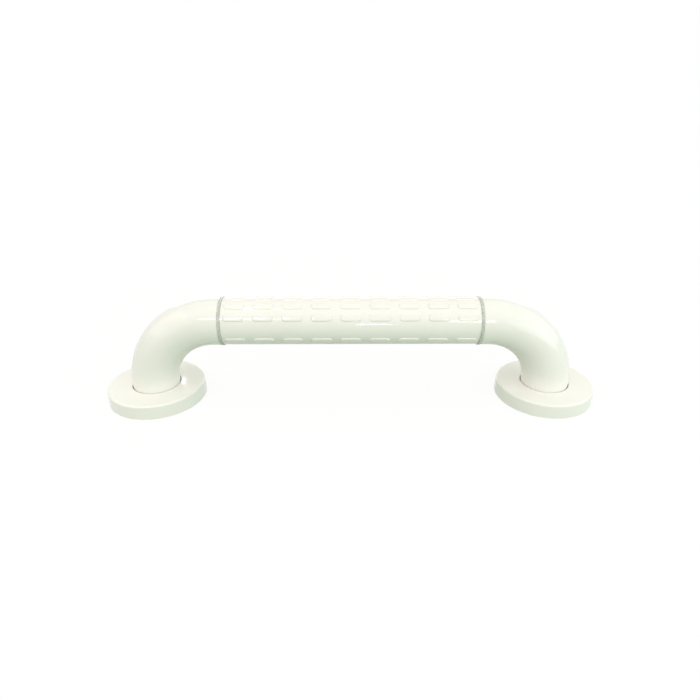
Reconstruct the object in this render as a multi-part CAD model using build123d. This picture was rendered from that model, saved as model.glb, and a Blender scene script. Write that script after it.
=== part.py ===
# Wall-mounted grab bar: a bent steel tube clad in moulded plastic, with a round cover at each foot.
# The wall is the plane Z = 0 and +Z points into the room. The bar lies along X, and the origin is
# on the wall, midway between the two feet. All sizes are in millimetres.
from build123d import *

import math
import os

# Bar as a whole
span = 300.0  # from leg centre to leg centre
bar_height = 62.0  # from the wall to the bar's axis
bend_radius = 50.0  # of both bends, at the tube's axis
bar_diameter = 35.0  # outside of the elbows

# Steel core
tube_diameter = 25.0
tube_wall = 1.5
tube_clearance = 0.15  # all round, between the tube and the plastic on it

# Wall plates
plate_rim_room = 1.75  # from the plate's rim to the cover's side, at the wall
plate_thickness = 3.0
plate_edge_chamfer = 0.5
tube_seat_clearance = 0.1  # all round the tube in the plate's middle hole
weld_recess = 1.2  # from the plate's back to the tube's end
weld_cover = 0.3  # from the plate's back to the weld's lowest point
screw_rim_distance = 6.65  # from the plate's rim to the screws' centres
screw_count = 3
screw_hole_diameter = 6.0
screw_start_angle = 90.0

# Elbows
elbow_lead = 5.7  # straight stretch between the bend and the ring
elbow_end_chamfer = 0.3

# Joint rings
ring_width = 2.0
ring_proud = 0.25  # above the elbows
ring_edge_chamfer = 0.25

# Grip sleeve
sleeve_inset = 0.3  # of the sleeve's ground below the elbows
sleeve_end_chamfer = 0.3
pad_relief = 0.65  # of the pads above the sleeve's ground
pad_root = 0.8  # depth to which a pad reaches into the sleeve's wall
pad_length = 14.2  # along the bar
pad_width = 4.9  # around the bar
pad_corner = 1.4  # cut off each corner
pad_draft = 12.0  # slope of a pad's sides, in degrees
pad_column_pitch = 20.7
pad_end_margin = 1.5  # least bare stretch at the sleeve's ends
room_side_rows = 5
room_row_pitch = 29.5  # in degrees
wall_side_rows = 3
wall_row_pitch = 59.0  # in degrees

# Covers
cover_diameter = 72.8  # at the wall
cover_height = 10.7
cover_draft = 2.0  # slope of the side, in degrees
cover_wall = 2.0
cover_edge_round = 1.4
cover_leg_gap = 0.45  # all round the elbow in the cover's hole
cover_lip_round = 0.5
collar_wall = 1.6
collar_lift = 1.0  # from the wall plate to the collar's end
rib_count = 6
rib_thickness = 1.6
lug_width = 7.0
lug_clearance = 0.15  # between a lug and the wall plate's rim
lug_lift = 0.6  # from the wall to a lug's end

# Sizes that follow from those above
tube_radius = tube_diameter / 2
bar_radius = bar_diameter / 2
bore_radius = tube_radius + tube_clearance
plate_radius = cover_diameter / 2 - cover_wall - plate_rim_room
screw_circle_radius = plate_radius - screw_rim_distance
sleeve_radius = bar_radius - sleeve_inset
pad_crest_radius = sleeve_radius + pad_relief
leg_x = span / 2
sleeve_length = span - 2 * (bend_radius + elbow_lead + ring_width)
ring_radius = bar_radius + ring_proud
cover_hole_radius = bar_radius + cover_leg_gap


def round_bar(path, radius):
    """Solid round bar of one radius along a path."""
    start = Plane(origin=path @ 0, z_dir=path % 0)
    return sweep(start * Circle(radius), path=path)


def pipe(path, outer_radius, inner_radius):
    """Pipe along a path."""
    return round_bar(path, outer_radius) - round_bar(path, inner_radius)


def bush(length, outer_radius, inner_radius, edge_chamfer):
    """Straight bush along X about the bar's axis, centred on X = 0, with its outer edges broken."""
    body = Cylinder(outer_radius, length, rotation=(0, 90, 0))
    rims = body.edges().filter_by(GeomType.CIRCLE)
    body = chamfer(rims, edge_chamfer)
    return body - Cylinder(inner_radius, length, rotation=(0, 90, 0))


def core_tube():
    """Steel tube in one piece: leg, bend, bar, bend and leg."""
    foot = weld_recess
    path = FilletPolyline(
        (-leg_x, 0, foot),
        (-leg_x, 0, bar_height),
        (leg_x, 0, bar_height),
        (leg_x, 0, foot),
        radius=bend_radius,
    )
    return pipe(path, tube_radius, tube_radius - tube_wall)


def base_plate():
    """Round wall plate about the origin, with its screw holes and the weld that closes the tube's end."""
    seat_radius = tube_radius + tube_seat_clearance
    plate = Cylinder(plate_radius, plate_thickness, align=(Align.CENTER, Align.CENTER, Align.MIN))
    plate = chamfer(plate.edges().filter_by(GeomType.CIRCLE), plate_edge_chamfer)
    plate -= Cylinder(seat_radius, 2 * plate_thickness)
    holes = PolarLocations(screw_circle_radius, screw_count, start_angle=screw_start_angle)
    plate -= holes * Cylinder(screw_hole_diameter / 2, 2 * plate_thickness)

    # Weld bead: it fills the hole below the tube's end and dips towards the tube's bore.
    weld_inner = (tube_radius - tube_wall, weld_recess)
    weld_top = (seat_radius, weld_recess)
    weld_low = (seat_radius, weld_cover)
    weld_mid = (
        (weld_inner[0] + weld_low[0]) / 2 - weld_cover / 2,
        (weld_inner[1] + weld_low[1]) / 2 - weld_cover / 2,
    )
    outline = Polyline(weld_inner, weld_top, weld_low) + ThreePointArc(weld_low, weld_mid, weld_inner)
    bead = revolve(Plane.XZ * make_face(outline), axis=Axis.Z)
    return plate + bead


def elbow(side):
    """Moulded elbow from the wall plate to the joint ring. Side is -1 for the left and 1 for the right."""
    path = FilletPolyline(
        (side * leg_x, 0, plate_thickness),
        (side * leg_x, 0, bar_height),
        (side * (leg_x - bend_radius - elbow_lead), 0, bar_height),
        radius=bend_radius,
    )
    shell = pipe(path, bar_radius, bore_radius)
    ring_face = shell.faces().filter_by(GeomType.PLANE).sort_by(Axis.Z)[-1]
    return chamfer(ring_face.outer_wire().edges(), elbow_end_chamfer)


def joint_ring():
    """Thin ring between the sleeve and an elbow."""
    return bush(ring_width, ring_radius, bore_radius, ring_edge_chamfer)


def pad():
    """One raised pad on top of the sleeve, with cut corners, drafted sides and a curved crest."""
    foot = sleeve_radius - pad_root
    outline = chamfer(Rectangle(pad_length, pad_width).vertices(), pad_corner)
    block = extrude(Plane.XY.offset(foot) * outline, amount=pad_root + 2 * pad_relief, taper=pad_draft)
    return block & Cylinder(pad_crest_radius, 2 * pad_length, rotation=(0, 90, 0))


def pad_angles():
    """Angles of the pad rows about the bar's axis, from the room side."""
    angles = []
    sides = ((0.0, room_side_rows, room_row_pitch), (180.0, wall_side_rows, wall_row_pitch))
    for middle, rows, pitch in sides:
        first = middle - pitch * (rows - 1) / 2
        angles += [first + pitch * row for row in range(rows)]
    return angles


def grip_sleeve():
    """Sleeve with its rows of pads, about the bar's axis."""
    sleeve = bush(sleeve_length, sleeve_radius, bore_radius, sleeve_end_chamfer)
    room = sleeve_length - 2 * pad_end_margin - pad_length
    columns = int(room / pad_column_pitch) + 1
    first = -pad_column_pitch * (columns - 1) / 2
    places = [first + pad_column_pitch * column for column in range(columns)]
    one = pad()
    pads = [Rot(X=angle) * Pos(X=place) * one for angle in pad_angles() for place in places]
    return sleeve + pads


def cover():
    """Hollow round cover about the origin, with the collar, ribs and lugs inside it."""
    base_radius = cover_diameter / 2
    shrink = cover_height * math.tan(math.radians(cover_draft))
    inner_height = cover_height - cover_wall
    inner_shrink = inner_height * math.tan(math.radians(cover_draft))
    upright = (Align.CENTER, Align.CENTER, Align.MIN)
    outward = (Align.MIN, Align.CENTER, Align.MIN)

    shell = Cone(base_radius, base_radius - shrink, cover_height, align=upright)
    shell = fillet(shell.edges().sort_by(Axis.Z)[-1], cover_edge_round)
    inner_base = base_radius - cover_wall
    cavity = Cone(inner_base, inner_base - inner_shrink, inner_height, align=upright)
    shell -= cavity

    # The collar keeps the cover square on the leg, and ends above the wall plate.
    collar_foot = plate_thickness + collar_lift
    collar_height = inner_height - collar_foot
    collar = Pos(Z=collar_foot) * Cylinder(cover_hole_radius + collar_wall, collar_height, align=upright)

    # Each rib stands on the wall plate, and its lug reaches down beside the plate's rim.
    rib_height = inner_height - plate_thickness
    rib = Pos(Z=plate_thickness) * Box(base_radius, rib_thickness, rib_height, align=outward)
    lug = Pos(Z=lug_lift) * Box(base_radius, lug_width, inner_height - lug_lift, align=outward)
    lug -= Cylinder(plate_radius + lug_clearance, cover_height, align=upright)
    stay = (rib + lug) & cavity
    stays = [Rot(Z=360 / rib_count * index) * stay for index in range(rib_count)]

    body = shell + collar + stays
    body -= Cylinder(cover_hole_radius, 3 * cover_height)
    lip = body.edges().filter_by(GeomType.CIRCLE).group_by(Axis.Z)[-1].sort_by(SortBy.RADIUS)[0]
    return fillet(lip, cover_lip_round)


def build():
    """All pieces in place, by node name."""
    ring_x = (sleeve_length + ring_width) / 2
    nodes = {
        "core_tube": core_tube(),
        "grip_sleeve": Pos(Z=bar_height) * grip_sleeve(),
    }
    plate = base_plate()
    ring = joint_ring()
    rosette = cover()
    for name, side in (("left", -1), ("right", 1)):
        nodes[f"base_plate_{name}"] = Pos(X=side * leg_x) * plate
        nodes[f"joint_ring_{name}"] = Pos(X=side * ring_x, Z=bar_height) * ring
        nodes[f"elbow_{name}"] = elbow(side)
        nodes[f"cover_{name}"] = Pos(X=side * leg_x) * rosette
    return nodes


os.makedirs("parts", exist_ok=True)
for node_name, solid in build().items():
    export_step(solid, f"parts/{node_name}.step")
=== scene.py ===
"""Looks of a wall-mounted grab bar: a steel tube clad in glossy ivory plastic, on a pale floor.

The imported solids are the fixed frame. The plastic pieces are modelled again here with soft
moulded edges, and the steel pieces keep their solids. All sizes are in metres. The bar lies
along X, the wall is the plane Z = 0, and +Z points into the room.
"""

from __future__ import annotations

import logging
import math
from contextlib import contextmanager
from dataclasses import dataclass, field
from enum import Enum
from typing import Any, Callable, ClassVar, Iterator, Sequence

import bmesh
import bpy
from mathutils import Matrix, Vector

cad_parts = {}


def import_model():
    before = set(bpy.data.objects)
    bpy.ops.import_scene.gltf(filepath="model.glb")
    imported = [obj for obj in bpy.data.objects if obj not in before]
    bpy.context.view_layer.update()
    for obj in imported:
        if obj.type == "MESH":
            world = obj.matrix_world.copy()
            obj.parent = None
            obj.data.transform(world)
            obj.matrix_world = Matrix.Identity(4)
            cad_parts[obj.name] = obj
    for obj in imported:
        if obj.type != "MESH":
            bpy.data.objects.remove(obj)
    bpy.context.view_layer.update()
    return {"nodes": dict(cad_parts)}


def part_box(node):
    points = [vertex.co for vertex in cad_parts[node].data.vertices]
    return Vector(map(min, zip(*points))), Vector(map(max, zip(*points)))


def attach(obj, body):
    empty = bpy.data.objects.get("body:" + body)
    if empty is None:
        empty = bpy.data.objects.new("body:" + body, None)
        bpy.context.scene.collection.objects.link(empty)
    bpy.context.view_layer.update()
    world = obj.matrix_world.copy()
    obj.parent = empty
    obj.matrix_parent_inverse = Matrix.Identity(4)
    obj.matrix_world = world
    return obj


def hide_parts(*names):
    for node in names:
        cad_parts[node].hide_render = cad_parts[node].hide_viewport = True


LOG = logging.getLogger("grab_bar")
MM = 0.001
CUBIC_CM = (10 * MM) ** 3
BODY = "root"
FULL_TURN = 2 * math.pi
HALF_TURN = math.pi
QUARTER_TURN = math.pi / 2
SMOOTH_UP_TO = math.radians(40)  # sharper edges stay crisp
FLAT_BAND = 0.3 * MM  # strip beside a rounded edge, which keeps the face beyond it shaded flat

Point = tuple[float, float]
Triple = tuple[float, float, float]
Outline = list[Point]

NOWHERE: Triple = (0.0, 0.0, 0.0)
FULL_SIZE: Triple = (1.0, 1.0, 1.0)


class Side(Enum):
    """The two ends of the bar, each with its sign along X."""

    LEFT = -1
    RIGHT = 1

    @property
    def label(self) -> str:
        """Name used in node and piece names."""
        return self.name.lower()


class LatheAxis(Enum):
    """Axis that an outline is turned about."""

    ALONG_BAR = "X"
    ALONG_LEG = "Z"


class Slot(Enum):
    """Material slots of the record that the modelled pieces belong to."""

    IVORY = "ivory_plastic"
    RING = "ring_plastic"


class Look(Enum):
    """Finishes of the pieces, each of them one material."""

    BAR = "glossy plastic of the bar"
    COVER = "glossy plastic of the covers"
    # The covers' finish is the bar's plastic made a touch paler, which paints extra light on them.
    RING = "satin plastic of the rings"
    CORE = "metal of the core"


Finishes = dict[Look, bpy.types.Material]


# Modelling helpers


def deselect_all() -> None:
    """Deselects every object, so that an operator acts on new work alone."""
    bpy.ops.object.select_all(action="DESELECT")


def pick(piece: bpy.types.Object) -> None:
    """Selects one piece alone and makes it the active one.

    Args:
        piece: The piece that the next operator acts on.
    """
    deselect_all()
    piece.select_set(True)
    bpy.context.view_layer.objects.active = piece


@contextmanager
def editing(piece: bpy.types.Object) -> Iterator[None]:
    """Holds one piece in edit mode, with edges as the selection mode.

    Args:
        piece: The mesh object to edit.
    """
    pick(piece)
    bpy.ops.object.mode_set(mode="EDIT")
    bpy.ops.mesh.select_mode(type="EDGE")
    try:
        yield
    finally:
        bpy.ops.object.mode_set(mode="OBJECT")


def select_faces(piece: bpy.types.Object, test: Callable[[bmesh.types.BMFace], bool]) -> None:
    """Selects the faces of a piece in edit mode that pass a test, and nothing else.

    Args:
        piece: The piece being edited.
        test: Says whether a face is wanted.
    """
    bpy.ops.mesh.select_mode(type="FACE")
    bpy.ops.mesh.select_all(action="DESELECT")
    mesh = bmesh.from_edit_mesh(piece.data)
    for face in mesh.faces:
        face.select_set(test(face))
    bmesh.update_edit_mesh(piece.data)


def select_open_edges() -> None:
    """Selects the open edges of the piece in edit mode."""
    bpy.ops.mesh.select_mode(type="EDGE")
    bpy.ops.mesh.select_all(action="DESELECT")
    bpy.ops.mesh.select_non_manifold(
        extend=False,
        use_wire=False,
        use_boundary=True,
        use_multi_face=False,
        use_non_contiguous=False,
        use_verts=False,
    )


def extrude_selection(move: Triple = NOWHERE) -> None:
    """Extrudes what is selected and moves the new end.

    Args:
        move: The way from the old end to the new one.
    """
    bpy.ops.mesh.extrude_region_move(TRANSFORM_OT_translate={"value": move})


def resize_selection(scale: Triple, center: Triple) -> None:
    """Resizes what is selected about a point.

    Args:
        scale: Factors along X, Y and Z.
        center: The point that stays in place.
    """
    bpy.ops.transform.resize(value=scale, center_override=center)


def weld_and_face_out(merge: float = 0.002 * MM) -> None:
    """Merges doubled points of the piece in edit mode and turns its faces outwards.

    Args:
        merge: Distance under which two points are one.
    """
    bpy.ops.mesh.select_all(action="SELECT")
    bpy.ops.mesh.remove_doubles(threshold=merge)
    bpy.ops.mesh.normals_make_consistent(inside=False)


def settle(
    piece: bpy.types.Object,
    move: Triple = NOWHERE,
    turn: Triple = NOWHERE,
    size: Triple = FULL_SIZE,
) -> None:
    """Sizes, turns and moves a piece, and applies that to its mesh.

    Args:
        piece: The piece to place.
        move: The way that it moves.
        turn: Angles about X, Y and Z.
        size: Factors along X, Y and Z.
    """
    pick(piece)
    piece.location = move
    piece.rotation_euler = turn
    piece.scale = size
    bpy.ops.object.transform_apply(location=True, rotation=True, scale=True)


def apply_modifier(piece: bpy.types.Object, kind: str, **settings: Any) -> None:
    """Adds a modifier to a piece and applies it at once.

    Args:
        piece: The piece to change.
        kind: Blender's name of the modifier type.
        settings: Its settings by name.
    """
    pick(piece)
    modifier = piece.modifiers.new(kind.lower(), kind)
    for name, value in settings.items():
        setattr(modifier, name, value)
    bpy.ops.object.modifier_apply(modifier=modifier.name)


def copy_of(piece: bpy.types.Object) -> bpy.types.Object:
    """Copies a piece with a mesh of its own.

    Args:
        piece: The piece to copy.

    Returns:
        The copy, linked to the scene.
    """
    twin = piece.copy()
    twin.data = piece.data.copy()
    bpy.context.scene.collection.objects.link(twin)
    return twin


def join(pieces: Sequence[bpy.types.Object]) -> bpy.types.Object:
    """Joins pieces into the first of them.

    Args:
        pieces: The pieces to join.

    Returns:
        The joined piece.
    """
    pick(pieces[0])
    for piece in pieces[1:]:
        piece.select_set(True)
    bpy.ops.object.join()
    return pieces[0]


def unite(body: bpy.types.Object, extra: bpy.types.Object) -> None:
    """Makes one solid of two, and removes the second.

    Args:
        body: The piece that grows.
        extra: The piece that becomes part of it.
    """
    apply_modifier(body, "BOOLEAN", operation="UNION", object=extra, solver="EXACT")
    bpy.data.objects.remove(extra)


def arc(center: Point, radius: float, start: float, end: float, steps: int) -> Outline:
    """Lists points along an arc of an outline.

    Args:
        center: The arc's centre.
        radius: The arc's radius.
        start: First angle, in degrees.
        end: Last angle, in degrees.
        steps: Number of chords.

    Returns:
        The points from the first angle to the last.
    """
    angles = [math.radians(start + (end - start) * step / steps) for step in range(steps + 1)]
    return [(center[0] + radius * math.cos(a), center[1] + radius * math.sin(a)) for a in angles]


def turned(outline: Outline, axis: LatheAxis, segments: int) -> bpy.types.Object:
    """Turns a closed outline about an axis: a circle is extruded and resized from point to point.

    Args:
        outline: Points of (radius, place along the axis), round the section once.
        axis: The axis through the origin that the outline is turned about.
        segments: Number of sides round the axis.

    Returns:
        The closed piece.
    """
    along_bar = axis is LatheAxis.ALONG_BAR
    unit = Vector((1, 0, 0)) if along_bar else Vector((0, 0, 1))
    turn = (0.0, QUARTER_TURN, 0.0) if along_bar else NOWHERE
    radius, place = outline[0]
    deselect_all()
    bpy.ops.mesh.primitive_circle_add(vertices=segments, radius=radius, fill_type="NOTHING")
    piece = bpy.context.object
    settle(piece, tuple(unit * place), turn)
    with editing(piece):
        bpy.ops.mesh.select_all(action="SELECT")
        for next_radius, next_place in outline[1:] + outline[:1]:
            extrude_selection(tuple(unit * (next_place - place)))
            factor = next_radius / radius
            scale = (1.0, factor, factor) if along_bar else (factor, factor, 1.0)
            resize_selection(scale, tuple(unit * next_place))
            radius, place = next_radius, next_place
        weld_and_face_out()
    return piece


# Materials


def linear(code: str) -> tuple[float, float, float, float]:
    """Turns an sRGB hex colour into a linear one.

    Args:
        code: Colour such as "#F3F1EB".

    Returns:
        Linear red, green, blue and an alpha of 1.
    """
    channels = [int(code[place : place + 2], 16) / 255 for place in (1, 3, 5)]
    # The curve of sRGB is straight for the darkest tones and a power above them.
    decoded = [c / 12.92 if c <= 0.04045 else ((c + 0.055) / 1.055) ** 2.4 for c in channels]
    return (decoded[0], decoded[1], decoded[2], 1.0)


def add_node(
    tree: bpy.types.NodeTree,
    kind: str,
    settings: dict[str, Any] | None = None,
    inputs: dict[Any, Any] | None = None,
) -> bpy.types.Node:
    """Adds a node with its settings, constants and links.

    Args:
        tree: The node tree that gets the node.
        kind: Blender's name of the node type.
        settings: Properties of the node by name.
        inputs: Constants, or output sockets to link from, by input name or number.

    Returns:
        The new node.
    """
    node = tree.nodes.new(kind)
    for name, value in (settings or {}).items():
        setattr(node, name, value)
    for key, value in (inputs or {}).items():
        if isinstance(value, bpy.types.NodeSocket):
            tree.links.new(value, node.inputs[key])
        else:
            node.inputs[key].default_value = value
    return node


def new_material(name: str) -> tuple[bpy.types.Material, bpy.types.NodeTree]:
    """Makes a material with an empty node tree.

    Args:
        name: Name of the material.

    Returns:
        The material and its tree.
    """
    material = bpy.data.materials.new(name)
    material.use_nodes = True
    material.node_tree.nodes.clear()
    return material, material.node_tree


@dataclass(frozen=True)
class IvoryAbs:
    """Ivory ABS, injection moulded in a polished tool."""

    # The eye sees a wet gloss with clean highlights, which a slow sink of the wall and a faint
    # orange peel make a little uneven, and a tint that drifts slightly from place to place.
    name: str = "ivory_abs_moulded_gloss"
    colour: str = "#F3F1EB"
    shade: str = "#EDEBE4"
    roughness: float = 0.04
    roughness_spread: float = 0.05
    ior: float = 1.53
    drift_size: float = 28 * MM
    drift_detail: float = 3.0
    drift_range: Point = (0.3, 0.7)  # noise values with the least and the most roughness
    sink_size: float = 17 * MM
    sink_detail: float = 1.0
    sink_depth: float = 0.03 * MM
    peel_size: float = 2.2 * MM  # coarser than real orange peel, so that it shows in the render
    peel_detail: float = 2.0
    peel_depth: float = 0.004 * MM

    def material(self) -> bpy.types.Material:
        """Builds the material.

        Returns:
            The glossy ivory plastic.
        """
        made, tree = new_material(self.name)
        place = add_node(tree, "ShaderNodeTexCoord").outputs["Object"]
        drift = add_node(
            tree,
            "ShaderNodeTexNoise",
            inputs={"Vector": place, "Scale": 1 / self.drift_size, "Detail": self.drift_detail},
        )
        colour = add_node(
            tree,
            "ShaderNodeMix",
            {"data_type": "RGBA"},
            {"Factor": drift.outputs["Fac"], "A": linear(self.colour), "B": linear(self.shade)},
        )
        gloss = add_node(
            tree,
            "ShaderNodeMapRange",
            inputs={
                "Value": drift.outputs["Fac"],
                "From Min": self.drift_range[0],
                "From Max": self.drift_range[1],
                "To Min": self.roughness,
                "To Max": self.roughness + self.roughness_spread,
            },
        )
        sink = add_node(
            tree,
            "ShaderNodeTexNoise",
            inputs={"Vector": place, "Scale": 1 / self.sink_size, "Detail": self.sink_detail},
        )
        peel = add_node(
            tree,
            "ShaderNodeTexNoise",
            inputs={"Vector": place, "Scale": 1 / self.peel_size, "Detail": self.peel_detail},
        )
        broad = add_node(
            tree,
            "ShaderNodeBump",
            inputs={
                "Height": sink.outputs["Fac"],
                "Distance": self.sink_depth,
                "Strength": 1.0,
            },
        )
        fine = add_node(
            tree,
            "ShaderNodeBump",
            inputs={
                "Height": peel.outputs["Fac"],
                "Distance": self.peel_depth,
                "Strength": 1.0,
                "Normal": broad.outputs["Normal"],
            },
        )
        shader = add_node(
            tree,
            "ShaderNodeBsdfPrincipled",
            inputs={
                "Base Color": colour.outputs[2],
                "Roughness": gloss.outputs["Result"],
                "IOR": self.ior,
                "Normal": fine.outputs["Normal"],
            },
        )
        add_node(tree, "ShaderNodeOutputMaterial", inputs={"Surface": shader.outputs["BSDF"]})
        return made


@dataclass(frozen=True)
class FilledPolypropylene:
    """Grey-green polypropylene with a mineral filler, moulded in a matt tool."""

    # The eye sees a satin skin without clear highlights, speckled darker and paler by the
    # filler's grains.
    colour: str = "#C4C9BF"
    dark: str = "#A6ABA1"
    pale: str = "#D9DCD3"
    roughness: float = 0.42
    ior: float = 1.49
    grain_size: float = 0.9 * MM  # coarser than the real grain, so that it shows in the render
    grain_detail: float = 3.0
    grain_mix: float = 0.6
    grain_depth: float = 0.05 * MM
    grain_strength: float = 0.6
    dark_stop: float = 0.36
    colour_stop: float = 0.5
    pale_stop: float = 0.66

    def material(self) -> bpy.types.Material:
        """Builds the material.

        Returns:
            The speckled satin plastic.
        """
        made, tree = new_material("grey_green_filled_polypropylene")
        place = add_node(tree, "ShaderNodeTexCoord").outputs["Object"]
        grain = add_node(
            tree,
            "ShaderNodeTexNoise",
            inputs={
                "Vector": place,
                "Scale": 1 / self.grain_size,
                "Detail": self.grain_detail,
                "Roughness": self.grain_mix,
            },
        )
        speckle = add_node(tree, "ShaderNodeValToRGB", inputs={"Fac": grain.outputs["Fac"]})
        stops = speckle.color_ramp.elements
        stops[0].position = self.dark_stop
        stops[0].color = linear(self.dark)
        stops[1].position = self.pale_stop
        stops[1].color = linear(self.pale)
        stops.new(self.colour_stop).color = linear(self.colour)
        bump = add_node(
            tree,
            "ShaderNodeBump",
            inputs={
                "Height": grain.outputs["Fac"],
                "Distance": self.grain_depth,
                "Strength": self.grain_strength,
            },
        )
        shader = add_node(
            tree,
            "ShaderNodeBsdfPrincipled",
            inputs={
                "Base Color": speckle.outputs["Color"],
                "Roughness": self.roughness,
                "IOR": self.ior,
                "Normal": bump.outputs["Normal"],
            },
        )
        add_node(tree, "ShaderNodeOutputMaterial", inputs={"Surface": shader.outputs["BSDF"]})
        return made


@dataclass(frozen=True)
class BrushedSteel:
    """Stainless steel, brushed along the bar."""

    # The eye sees bright metal whose reflections smear across fine straight scratches of uneven
    # sheen.
    colour: str = "#C3C4C4"
    dull: str = "#A9ABAC"
    roughness: float = 0.28
    roughness_spread: float = 0.16
    scratch_width: float = 0.25 * MM  # coarser than the real grit, so that it shows in the render
    scratch_length: float = 30 * MM
    scratch_detail: float = 4.0
    scratch_depth: float = 0.01 * MM
    scratch_strength: float = 0.5

    def material(self) -> bpy.types.Material:
        """Builds the material.

        Returns:
            The brushed metal.
        """
        made, tree = new_material("brushed_stainless_steel")
        place = add_node(tree, "ShaderNodeTexCoord").outputs["Object"]
        across = 1 / self.scratch_width
        stretched = add_node(
            tree,
            "ShaderNodeMapping",
            inputs={"Vector": place, "Scale": (1 / self.scratch_length, across, across)},
        )
        scratch = add_node(
            tree,
            "ShaderNodeTexNoise",
            inputs={
                "Vector": stretched.outputs["Vector"],
                "Scale": 1.0,
                "Detail": self.scratch_detail,
            },
        )
        colour = add_node(
            tree,
            "ShaderNodeMix",
            {"data_type": "RGBA"},
            {"Factor": scratch.outputs["Fac"], "A": linear(self.colour), "B": linear(self.dull)},
        )
        gloss = add_node(
            tree,
            "ShaderNodeMapRange",
            inputs={
                "Value": scratch.outputs["Fac"],
                "To Min": self.roughness,
                "To Max": self.roughness + self.roughness_spread,
            },
        )
        bump = add_node(
            tree,
            "ShaderNodeBump",
            inputs={
                "Height": scratch.outputs["Fac"],
                "Distance": self.scratch_depth,
                "Strength": self.scratch_strength,
            },
        )
        shader = add_node(
            tree,
            "ShaderNodeBsdfPrincipled",
            inputs={
                "Base Color": colour.outputs[2],
                "Metallic": 1.0,
                "Roughness": gloss.outputs["Result"],
                "Normal": bump.outputs["Normal"],
            },
        )
        add_node(tree, "ShaderNodeOutputMaterial", inputs={"Surface": shader.outputs["BSDF"]})
        return made


# Sub-assemblies


@dataclass(frozen=True)
class BarFrame:
    """Main sizes of the bar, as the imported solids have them."""

    leg_x: float
    axis_z: float
    bar_radius: float
    ring_radius: float
    sleeve_half: float
    ring_half: float
    elbow_end: float
    foot_z: float
    plate_radius: float
    cover_radius: float
    cover_height: float
    # These two can't be read from a node's box.
    bore_radius: float = 12.65 * MM
    bend_radius: float = 50 * MM

    @classmethod
    def measure(cls) -> BarFrame:
        """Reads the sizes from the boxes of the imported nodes.

        Returns:
            The sizes.
        """
        ring_low, ring_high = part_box("joint_ring_right")
        elbow_low, elbow_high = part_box("elbow_right")
        cover_low, cover_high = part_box("cover_right")
        plate_low, plate_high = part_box("base_plate_right")
        sleeve_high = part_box("grip_sleeve")[1]
        return cls(
            leg_x=(cover_low.x + cover_high.x) / 2,
            axis_z=(ring_low.z + ring_high.z) / 2,
            bar_radius=(elbow_high.y - elbow_low.y) / 2,
            ring_radius=(ring_high.z - ring_low.z) / 2,
            sleeve_half=sleeve_high.x,
            ring_half=(ring_high.x - ring_low.x) / 2,
            elbow_end=elbow_low.x,
            foot_z=elbow_low.z,
            plate_radius=(plate_high.x - plate_low.x) / 2,
            cover_radius=(cover_high.x - cover_low.x) / 2,
            cover_height=cover_high.z,
        )


@dataclass
class SubAssembly:
    """Part of the bar whose modelled pieces stand for CAD nodes, kept by node name."""

    slot: ClassVar[Slot]
    look: ClassVar[Look]
    frame: BarFrame
    pieces: dict[str, bpy.types.Object] = field(default_factory=dict, init=False)

    def keep(self, node: str, piece: bpy.types.Object, name: str) -> None:
        """Names a finished piece, shades it and keeps it for its CAD node.

        Args:
            node: The CAD node that it stands for.
            piece: The modelled piece.
            name: Its final name.
        """
        piece.name = name
        piece.data.name = name
        pick(piece)
        bpy.ops.object.shade_smooth_by_angle(angle=SMOOTH_UP_TO)
        self.pieces[node] = piece

    def keep_pair(self, node: str, right: bpy.types.Object, name: str) -> None:
        """Keeps a piece of the bar's right half, and a copy, turned half round, for the left.

        Args:
            node: Start of the two CAD nodes' names.
            right: The piece modelled for the right half.
            name: Start of the two pieces' names.
        """
        left = copy_of(right)
        settle(left, turn=(0.0, 0.0, HALF_TURN))
        for side, piece in ((Side.LEFT, left), (Side.RIGHT, right)):
            self.keep(f"{node}_{side.label}", piece, f"{name}_{side.label}")

    def dress(self, finishes: Finishes) -> None:
        """Gives the pieces their finish and lets each stand for its CAD node.

        Args:
            finishes: The material of each look.
        """
        for node, piece in self.pieces.items():
            piece.data.materials.clear()
            piece.data.materials.append(finishes[self.look])
            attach(piece, BODY)
            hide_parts(node)

    def report(self) -> None:
        """Logs the faces, open edges and volume of each piece."""
        for piece in self.pieces.values():
            mesh = bmesh.new()
            mesh.from_mesh(piece.data)
            open_edges = sum(not edge.is_manifold for edge in mesh.edges)
            volume = mesh.calc_volume() / CUBIC_CM
            LOG.info(
                "%s: %d faces, %d open edges, %.2f cm3",
                piece.name,
                len(mesh.faces),
                open_edges,
                volume,
            )
            mesh.free()


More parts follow.
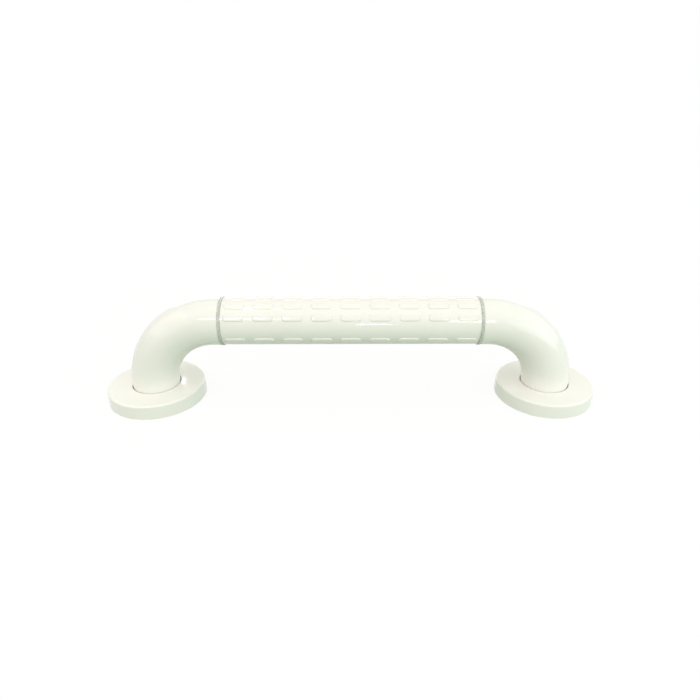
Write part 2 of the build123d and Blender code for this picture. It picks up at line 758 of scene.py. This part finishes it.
@dataclass
class GripSleeve(SubAssembly):
    """Straight sleeve with rows of raised pads, modelled flat, rolled up and closed."""

    slot: ClassVar[Slot] = Slot.IVORY
    look: ClassVar[Look] = Look.BAR
    ground_inset: float = 0.3 * MM
    pad_length: float = 14.1 * MM
    pad_width: float = 4.8 * MM
    pad_corner: float = 2.2 * MM
    corner_steps: int = 6
    column_pitch: float = 20.7 * MM
    columns: int = 9
    room_rows: int = 5
    room_row_angle: float = math.radians(29.5)
    wall_rows: int = 3
    wall_row_angle: float = math.radians(59)
    strips: int = 14  # along a row, so that the rolled sleeve is round
    end_round: float = 0.3 * MM
    end_steps: int = 3
    seam_merge: float = 0.005 * MM
    # Steps from a pad's foot to its crest: how far in, and how far up.
    slope: tuple[Point, ...] = (
        (0.10 * MM, 0.00 * MM),
        (0.10 * MM, 0.03 * MM),
        (0.08 * MM, 0.09 * MM),
        (0.16 * MM, 0.33 * MM),
        (0.10 * MM, 0.12 * MM),
        (0.14 * MM, 0.06 * MM),
        (0.20 * MM, 0.02 * MM),
    )
    slope_middle: float = 0.36 * MM  # from the foot to half height

    @property
    def ground_radius(self) -> float:
        """Radius of the sleeve between its pads."""
        return self.frame.bar_radius - self.ground_inset

    @property
    def row_depth(self) -> float:
        """Width of one pad row's strip, measured round the sleeve."""
        return self.room_row_angle * self.ground_radius

    def row_groups(self) -> list[tuple[float, int]]:
        """Lists the groups of neighbouring rows, round the sleeve.

        Returns:
            The middle of each group, measured round the sleeve, and its number of rows.
        """
        groups = [(0.0, self.room_rows)]
        for row in range(self.wall_rows):
            angle = HALF_TURN + self.wall_row_angle * (row - (self.wall_rows - 1) / 2)
            groups.append((angle * self.ground_radius, 1))
        return groups

    def pad_tile(self) -> bpy.types.Object:
        """Models one tile of the unrolled sleeve, with a pad raised from its middle.

        Returns:
            The flat tile, with X along the bar and Y round it.
        """
        foot_length = self.pad_length + 2 * self.slope_middle
        foot_width = self.pad_width + 2 * self.slope_middle
        border = (self.row_depth - foot_width) / 2
        deselect_all()
        bpy.ops.mesh.primitive_plane_add(size=1.0)
        tile = bpy.context.object
        settle(tile, size=(self.column_pitch, self.row_depth, 1.0))
        with editing(tile):
            bpy.ops.mesh.select_mode(type="FACE")
            bpy.ops.mesh.select_all(action="SELECT")
            bpy.ops.mesh.inset(thickness=border)
            resize_selection((foot_length / (self.column_pitch - 2 * border), 1.0, 1.0), NOWHERE)
            bpy.ops.mesh.select_mode(type="VERT")
            bpy.ops.mesh.bevel(
                offset=self.pad_corner, segments=self.corner_steps, affect="VERTICES"
            )
            select_faces(tile, lambda face: face.calc_center_median().length < border / 2)
            for inward, upward in self.slope:
                bpy.ops.mesh.inset(thickness=inward, depth=upward)
            for strip in range(1, self.strips):
                place = self.row_depth * (strip / self.strips - 0.5)
                bpy.ops.mesh.select_all(action="SELECT")
                bpy.ops.mesh.bisect(plane_co=(0.0, place, 0.0), plane_no=(0.0, 1.0, 0.0))
        return tile

    def pad_rows(self, tile: bpy.types.Object, rows: int, start: float) -> bpy.types.Object:
        """Repeats the tile in columns and rows.

        Args:
            tile: The tile.
            rows: Number of rows.
            start: Where the first row begins, measured round the sleeve.

        Returns:
            The flat sheet.
        """
        sheet = copy_of(tile)
        first_x = -self.column_pitch * (self.columns - 1) / 2
        settle(sheet, (first_x, start + self.row_depth / 2, 0.0))
        along_bar = (self.column_pitch, 0.0, 0.0)
        round_bar = (0.0, self.row_depth, 0.0)
        for count, step in ((self.columns, along_bar), (rows, round_bar)):
            apply_modifier(
                sheet,
                "ARRAY",
                count=count,
                use_relative_offset=False,
                use_constant_offset=True,
                constant_offset_displace=step,
                use_merge_vertices=True,
                merge_threshold=self.seam_merge,
            )
        return sheet

    def bare_band(self, start: float, end: float) -> bpy.types.Object:
        """Models a bare strip of the unrolled sleeve.

        Args:
            start: Where the strip begins, measured round the sleeve.
            end: Where it ends.

        Returns:
            The flat strip.
        """
        strips = round((end - start) / self.row_depth * self.strips)
        deselect_all()
        bpy.ops.mesh.primitive_grid_add(
            x_subdivisions=self.columns, y_subdivisions=strips, size=1.0
        )
        band = bpy.context.object
        size = (self.column_pitch * self.columns, end - start, 1.0)
        settle(band, (0.0, (start + end) / 2, 0.0), size=size)
        return band

    def flat_sheet(self) -> bpy.types.Object:
        """Models the whole sleeve unrolled, trimmed to its length.

        Returns:
            The flat sheet, as wide as the sleeve is round.
        """
        tile = self.pad_tile()
        sheets = []
        groups = self.row_groups()
        first_middle, first_rows = groups[0]
        following = groups[1:] + [(first_middle + FULL_TURN * self.ground_radius, first_rows)]
        for (middle, rows), (next_middle, next_rows) in zip(groups, following):
            end = middle + rows * self.row_depth / 2
            sheets.append(self.pad_rows(tile, rows, middle - rows * self.row_depth / 2))
            sheets.append(self.bare_band(end, next_middle - next_rows * self.row_depth / 2))
        bpy.data.objects.remove(tile)
        sheet = join(sheets)
        trim = self.frame.sleeve_half - self.end_round
        with editing(sheet):
            for end in (1.0, -1.0):
                bpy.ops.mesh.select_all(action="SELECT")
                bpy.ops.mesh.bisect(
                    plane_co=(end * trim, 0.0, 0.0), plane_no=(end, 0.0, 0.0), clear_outer=True
                )
                bpy.ops.mesh.select_all(action="SELECT")
                bpy.ops.mesh.bisect(
                    plane_co=(end * (trim - FLAT_BAND), 0.0, 0.0), plane_no=(end, 0.0, 0.0)
                )
        return sheet

    def roll_up(self, sheet: bpy.types.Object) -> None:
        """Rolls the flat sheet round the bar's axis, with its first rows on the room side.

        Args:
            sheet: The flat sheet, with X along the bar and Y round it.
        """
        # A bend about X takes a sheet that stands along Z, and rolls it about a line one radius
        # behind it.
        settle(sheet, turn=(QUARTER_TURN, 0.0, 0.0))
        apply_modifier(
            sheet, "SIMPLE_DEFORM", deform_method="BEND", deform_axis="X", angle=FULL_TURN
        )
        top = (0.0, 0.0, self.frame.axis_z + self.ground_radius)
        settle(sheet, top, (-QUARTER_TURN, 0.0, 0.0))

    def close_ends(self, sleeve: bpy.types.Object) -> None:
        """Rounds the ends of the rolled sheet and closes them with the bore.

        Args:
            sleeve: The rolled sheet.
        """
        axis_point = (0.0, 0.0, self.frame.axis_z)
        straight_half = self.frame.sleeve_half - self.end_round
        half, radius = straight_half, self.ground_radius
        with editing(sleeve):
            bpy.ops.mesh.select_all(action="SELECT")
            bpy.ops.mesh.remove_doubles(threshold=self.seam_merge)
            select_open_edges()
            corner = arc((-self.end_round, 0.0), self.end_round, 0, 90, self.end_steps)
            for in_by, out_by in corner[1:]:
                next_half, next_radius = straight_half + out_by, self.ground_radius + in_by
                extrude_selection()
                factor = next_radius / radius
                resize_selection((next_half / half, factor, factor), axis_point)
                half, radius = next_half, next_radius
            extrude_selection()
            factor = self.frame.bore_radius / radius
            resize_selection((1.0, factor, factor), axis_point)
            bpy.ops.mesh.bridge_edge_loops()
            weld_and_face_out()

    def build(self) -> None:
        """Models the sleeve."""
        sleeve = self.flat_sheet()
        self.roll_up(sleeve)
        self.close_ends(sleeve)
        self.keep("grip_sleeve", sleeve, "sleeve_moulding")


@dataclass
class JointRings(SubAssembly):
    """Thin rings between the sleeve and the elbows, with rounded outer edges."""

    slot: ClassVar[Slot] = Slot.RING
    look: ClassVar[Look] = Look.RING
    edge_round: float = 0.3 * MM
    edge_steps: int = 4
    segments: int = 160

    def outline(self) -> Outline:
        """Lists the points of a ring's section.

        Returns:
            The points from the bore over the outer face and back.
        """
        half = self.frame.ring_half
        shoulder = self.frame.ring_radius - self.edge_round
        flat = half - self.edge_round
        return [
            (self.frame.bore_radius, -half),
            *arc((shoulder, -flat), self.edge_round, -90, 0, self.edge_steps),
            *arc((shoulder, flat), self.edge_round, 0, 90, self.edge_steps),
            (self.frame.bore_radius, half),
        ]

    def build(self) -> None:
        """Models the right ring and copies it for the left end."""
        ring = turned(self.outline(), LatheAxis.ALONG_BAR, self.segments)
        settle(ring, (self.frame.sleeve_half + self.frame.ring_half, 0.0, self.frame.axis_z))
        self.keep_pair("joint_ring", ring, "ring_moulding")


@dataclass
class Elbows(SubAssembly):
    """Smooth moulded elbows from the wall plates to the joint rings."""

    slot: ClassVar[Slot] = Slot.IVORY
    look: ClassVar[Look] = Look.BAR
    segments: int = 128
    bend_steps: int = 56
    end_round: float = 0.35 * MM
    end_steps: int = 3
    edge_angle: float = math.radians(60)  # sharper edges are rounded

    def build(self) -> None:
        """Models the right elbow, up the leg, round the bend and on to the ring, and copies it."""
        frame = self.frame
        bend_x = frame.leg_x - frame.bend_radius
        bend_z = frame.axis_z - frame.bend_radius
        deselect_all()
        bpy.ops.mesh.primitive_circle_add(
            vertices=self.segments, radius=frame.bar_radius, fill_type="NOTHING"
        )
        elbow = bpy.context.object
        settle(elbow, (frame.leg_x, 0.0, frame.foot_z))
        with editing(elbow):
            bpy.ops.mesh.select_all(action="SELECT")
            extrude_selection((0.0, 0.0, bend_z - frame.foot_z))
            bpy.ops.mesh.spin(
                steps=self.bend_steps,
                angle=QUARTER_TURN,
                center=(bend_x, 0.0, bend_z),
                axis=(0.0, 1.0, 0.0),
            )
            last = self.end_round + FLAT_BAND
            extrude_selection((frame.elbow_end + last - bend_x, 0.0, 0.0))
            extrude_selection((-last, 0.0, 0.0))
            weld_and_face_out()
        wall = frame.bar_radius - frame.bore_radius
        apply_modifier(
            elbow, "SOLIDIFY", thickness=wall, offset=-1.0, use_even_offset=True, use_rim=True
        )
        apply_modifier(
            elbow,
            "BEVEL",
            width=self.end_round,
            segments=self.end_steps,
            limit_method="ANGLE",
            angle_limit=self.edge_angle,
        )
        self.keep_pair("elbow", elbow, "elbow_moulding")


@dataclass
class Covers(SubAssembly):
    """Hollow round covers with a soft top edge, and a collar, ribs and lugs inside."""

    slot: ClassVar[Slot] = Slot.IVORY
    look: ClassVar[Look] = Look.COVER
    wall: float = 2.0 * MM
    draft: float = math.radians(2)
    edge_round: float = 1.4 * MM
    edge_steps: int = 8
    leg_gap: float = 0.45 * MM
    lip_round: float = 0.5 * MM
    lip_steps: int = 4
    collar_wall: float = 1.6 * MM
    collar_foot: float = 4.0 * MM
    stay_count: int = 6
    rib_foot: float = 3.0 * MM
    rib_thickness: float = 1.6 * MM
    lug_width: float = 7.0 * MM
    lug_clearance: float = 0.15 * MM
    lug_foot: float = 0.6 * MM
    stay_round: float = 0.2 * MM
    stay_steps: int = 2
    overlap: float = 0.5 * MM  # of ribs and lugs into the walls
    segments: int = 192

    @property
    def hole_radius(self) -> float:
        """Radius of the hole for the leg."""
        return self.frame.bar_radius + self.leg_gap

    def outline(self) -> Outline:
        """Lists the points of the cover's section.

        Returns:
            The points from the rim on the wall over the top, down the hole and back inside.
        """
        base = self.frame.cover_radius
        top = self.frame.cover_height
        lean = math.tan(self.draft)
        under = top - self.wall
        edge_height = top - self.edge_round
        edge_place = base - lean * edge_height - self.edge_round / math.cos(self.draft)
        edge_center = (edge_place, edge_height)
        wall_end = edge_height + self.edge_round * math.sin(self.draft) - FLAT_BAND
        lip_center = (self.hole_radius + self.lip_round, top - self.lip_round)
        collar = self.hole_radius + self.collar_wall
        return [
            (base, 0.0),
            (base - lean * wall_end, wall_end),
            *arc(edge_center, self.edge_round, math.degrees(self.draft), 90, self.edge_steps),
            (edge_place - FLAT_BAND, top),
            (lip_center[0] + FLAT_BAND, top),
            *arc(lip_center, self.lip_round, 90, 180, self.lip_steps),
            (self.hole_radius, self.collar_foot),
            (collar, self.collar_foot),
            (collar, under),
            (base - self.wall - lean * under, under),
            (base - self.wall, 0.0),
        ]

    def block(self, inner: float, outer: float, width: float, foot: float) -> bpy.types.Object:
        """Models one upright block that reaches into the cover's top, its edges slightly rounded.

        Args:
            inner: Distance of its inner end from the leg's axis.
            outer: Distance of its outer end.
            width: Its width.
            foot: Height of its lower end.

        Returns:
            The block.
        """
        roof = self.frame.cover_height - self.wall + self.overlap
        deselect_all()
        bpy.ops.mesh.primitive_cube_add(size=1.0)
        block = bpy.context.object
        middle = ((inner + outer) / 2, 0.0, (roof + foot) / 2)
        settle(block, middle, size=(outer - inner, width, roof - foot))
        apply_modifier(block, "BEVEL", width=self.stay_round, segments=self.stay_steps)
        return block

    def stays(self) -> bpy.types.Object:
        """Models one rib with its lug and copies it round the leg.

        Returns:
            All ribs and lugs in one piece.
        """
        side = self.frame.cover_radius - self.wall
        collar = self.hole_radius + self.collar_wall
        rim = self.frame.plate_radius + self.lug_clearance
        stay = self.block(collar - self.overlap, side, self.rib_thickness, self.rib_foot)
        unite(stay, self.block(rim, side + self.overlap, self.lug_width, self.lug_foot))
        copies = [copy_of(stay) for _ in range(self.stay_count - 1)]
        for index, twin in enumerate(copies, start=1):
            settle(twin, turn=(0.0, 0.0, FULL_TURN * index / self.stay_count))
        return join([stay, *copies])

    def build(self) -> None:
        """Models the right cover, turned and then joined with its ribs and lugs, and copies it."""
        cover = turned(self.outline(), LatheAxis.ALONG_LEG, self.segments)
        unite(cover, self.stays())
        settle(cover, (self.frame.leg_x, 0.0, 0.0))
        self.keep_pair("cover", cover, "cover_moulding")


@dataclass
class SteelCore:
    """Bent tube and wall plates, whose solids have their real shape already."""

    solids: dict[str, bpy.types.Object]
    node_names: tuple[str, ...] = ("core_tube", "base_plate_left", "base_plate_right")

    def dress(self, finishes: Finishes) -> None:
        """Gives the solids their metal.

        Args:
            finishes: The material of each look.
        """
        for name in self.node_names:
            for slot in self.solids[name].material_slots:
                slot.material = finishes[Look.CORE]

    def report(self) -> None:
        """Logs the faces of each solid."""
        for name in self.node_names:
            LOG.info("%s: %d faces, as packed", name, len(self.solids[name].data.polygons))


# Floor, light and camera


@dataclass(frozen=True)
class Softbox:
    """Rectangular softbox, with its power in watts."""

    name: str
    place: Triple
    size: Point
    power: float
    colour: str

    def hang(self, target: Triple) -> None:
        """Hangs the softbox in its place.

        Args:
            target: The point that it faces.
        """
        lamp = bpy.data.lights.new(self.name, "AREA")
        lamp.shape = "RECTANGLE"
        lamp.size, lamp.size_y = self.size
        lamp.energy = self.power
        lamp.color = linear(self.colour)[:3]
        holder = bpy.data.objects.new(self.name, lamp)
        holder.location = self.place
        way = Vector(target) - Vector(self.place)
        holder.rotation_euler = way.to_track_quat("-Z", "Y").to_euler()
        bpy.context.scene.collection.objects.link(holder)


@dataclass(frozen=True)
class Studio:
    """Plain white studio: floor, soft sky, softboxes round the bar, and the camera."""

    frame: BarFrame
    floor_size: float = 8.0
    floor_drop: float = 0.1 * MM
    floor_colour: str = "#FFFFFF"
    bounce_colour: str = "#93A992"
    shadow_share: float = 0.10  # of the seen floor that takes the bar's shadow
    shadow_reach: Point = (0.15, 0.6)  # distances between which that share fades to nothing
    sky_colour: str = "#FBFFF8"
    sky_strength: float = 0.56
    image_width: float = 700.0
    focal_pixels: float = 546.8
    sensor: float = 36.0  # in millimetres, as the lens is
    near_clip: float = 10 * MM
    eye: Triple = (-2.3 * MM, -366.0 * MM, 226.9 * MM)
    pitch: float = math.radians(27.32)
    yaw: float = math.radians(-0.27)
    # Broad softboxes light the bar evenly, and each small one, at the top and in front, is seen
    # as a short streak of gloss. The last is mirrored as a glint beside the left cover's hole.
    softboxes: tuple[Softbox, ...] = (
        Softbox("softbox_key", (0.0, -0.85, 1.25), (2.6, 1.6), 6.3, "#FFF5F2"),
        Softbox("softbox_over", (0.0, 0.45, 1.3), (1.8, 1.0), 2.0, "#FFFAF3"),
        Softbox("softbox_top", (-0.26, -0.14, 1.2), (0.26, 0.12), 0.42, "#FFF8F0"),
        Softbox("softbox_back", (0.0, 1.25, 0.28), (1.8, 0.4), 4.4, "#FFFBF4"),
        Softbox("softbox_left", (-1.2, -0.2, 0.75), (1.3, 0.9), 3.5, "#FCFDFC"),
        Softbox("softbox_right", (1.2, -0.2, 0.55), (1.5, 0.9), 3.6, "#EDFCFE"),
        Softbox("softbox_low_left", (-1.0, -0.8, 0.32), (0.8, 0.6), 0.9, "#FFFFFF"),
        Softbox("softbox_low_right", (1.1, -0.8, 0.32), (1.2, 0.6), 3.6, "#F2FEFD"),
        Softbox("softbox_front_left", (-0.37, -1.0, 0.73), (0.36, 0.1), 1.2, "#FFF8F4"),
        Softbox("softbox_front_right", (0.33, -1.0, 0.41), (0.13, 0.13), 0.65, "#FFF8F4"),
        Softbox("softbox_front_small", (0.065, -1.0, 0.175), (0.085, 0.05), 0.25, "#FFF8F4"),
        Softbox("softbox_glint", (-0.388, 0.737, 0.443), (0.014, 0.008), 0.004, "#FFFFFF"),
    )

    def seen_directly(self, tree: bpy.types.NodeTree) -> bpy.types.NodeSocket:
        """Adds the test for rays that show a background: straight, mirrored or through glass.

        Args:
            tree: The node tree of the floor or the sky.

        Returns:
            A socket that is 1 for such rays.
        """
        path = add_node(tree, "ShaderNodeLightPath")
        first = add_node(
            tree,
            "ShaderNodeMath",
            {"operation": "MAXIMUM"},
            {0: path.outputs["Is Camera Ray"], 1: path.outputs["Is Glossy Ray"]},
        )
        both = add_node(
            tree,
            "ShaderNodeMath",
            {"operation": "MAXIMUM"},
            {0: first.outputs[0], 1: path.outputs["Is Transmission Ray"]},
        )
        return both.outputs[0]

    def floor_paint(self) -> bpy.types.Material:
        """Builds the floor's material, which looks white and throws back a grey-green light.

        Returns:
            The floor's material, which keeps the bar's shadow near the bar.
        """
        made, tree = new_material("white_studio_floor")
        white = linear(self.floor_colour)
        glow = add_node(tree, "ShaderNodeEmission", inputs={"Color": white, "Strength": 1.0})
        paint = add_node(tree, "ShaderNodeBsdfDiffuse", inputs={"Color": white})
        place = add_node(tree, "ShaderNodeTexCoord").outputs["Object"]
        distance = add_node(tree, "ShaderNodeVectorMath", {"operation": "LENGTH"}, {0: place})
        share = add_node(
            tree,
            "ShaderNodeMapRange",
            {"interpolation_type": "SMOOTHSTEP"},
            {
                "Value": distance.outputs["Value"],
                "From Min": self.shadow_reach[0],
                "From Max": self.shadow_reach[1],
                "To Min": self.shadow_share,
                "To Max": 0.0,
            },
        )
        shown = add_node(
            tree,
            "ShaderNodeMixShader",
            inputs={0: share.outputs["Result"], 1: glow.outputs[0], 2: paint.outputs[0]},
        )
        bounce = add_node(
            tree, "ShaderNodeBsdfDiffuse", inputs={"Color": linear(self.bounce_colour)}
        )
        surface = add_node(
            tree,
            "ShaderNodeMixShader",
            inputs={0: self.seen_directly(tree), 1: bounce.outputs[0], 2: shown.outputs[0]},
        )
        add_node(tree, "ShaderNodeOutputMaterial", inputs={"Surface": surface.outputs[0]})
        return made

    def floor(self) -> None:
        """Lays the floor just under the bar's feet."""
        deselect_all()
        bpy.ops.mesh.primitive_plane_add(
            size=self.floor_size, location=(0.0, 0.0, -self.floor_drop)
        )
        floor = bpy.context.object
        floor.name = "studio_floor"
        floor.data.materials.append(self.floor_paint())

    def sky(self) -> None:
        """Sets the world: white behind the object, and a soft even light on it."""
        world = bpy.data.worlds.new("studio_sky")
        world.use_nodes = True
        tree = world.node_tree
        tree.nodes.clear()
        soft = add_node(
            tree,
            "ShaderNodeBackground",
            inputs={"Color": linear(self.sky_colour), "Strength": self.sky_strength},
        )
        white = add_node(
            tree,
            "ShaderNodeBackground",
            inputs={"Color": linear(self.floor_colour), "Strength": 1.0},
        )
        mixed = add_node(
            tree,
            "ShaderNodeMixShader",
            inputs={0: self.seen_directly(tree), 1: soft.outputs[0], 2: white.outputs[0]},
        )
        add_node(tree, "ShaderNodeOutputWorld", inputs={"Surface": mixed.outputs[0]})
        bpy.context.scene.world = world

    def camera(self) -> None:
        """Sets the camera at the photo's viewing angle."""
        lens = bpy.data.cameras.new("photo_camera")
        lens.sensor_fit = "HORIZONTAL"
        lens.sensor_width = self.sensor
        lens.lens = self.focal_pixels / self.image_width * self.sensor
        lens.clip_start = self.near_clip
        holder = bpy.data.objects.new("photo_camera", lens)
        holder.location = self.eye
        holder.rotation_euler = (QUARTER_TURN - self.pitch, 0.0, self.yaw)
        bpy.context.scene.collection.objects.link(holder)
        bpy.context.scene.camera = holder

    def build(self) -> None:
        """Sets up the whole studio."""
        self.floor()
        self.sky()
        for softbox in self.softboxes:
            softbox.hang((0.0, 0.0, self.frame.axis_z))
        self.camera()
        bpy.context.scene.view_settings.view_transform = "Standard"


def main() -> None:
    """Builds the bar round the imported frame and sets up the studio."""
    logging.basicConfig(level=logging.INFO, format="%(message)s")
    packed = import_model()
    frame = BarFrame.measure()
    finishes: Finishes = {
        Look.BAR: IvoryAbs().material(),
        # The covers take a copy of the bar's plastic made a touch paler: painted light, which
        # brightens them beyond what the lamps give them.
        Look.COVER: IvoryAbs(
            name="ivory_abs_cover_painted_paler", colour="#F8F6F0", shade="#F3F1EA"
        ).material(),
        Look.RING: FilledPolypropylene().material(),
        Look.CORE: BrushedSteel().material(),
    }

    for clad in (GripSleeve(frame), JointRings(frame), Elbows(frame), Covers(frame)):
        clad.build()
        clad.dress(finishes)
        clad.report()
    core = SteelCore(packed["nodes"])
    core.dress(finishes)
    core.report()
    Studio(frame).build()


if __name__ == "__main__":
    main()
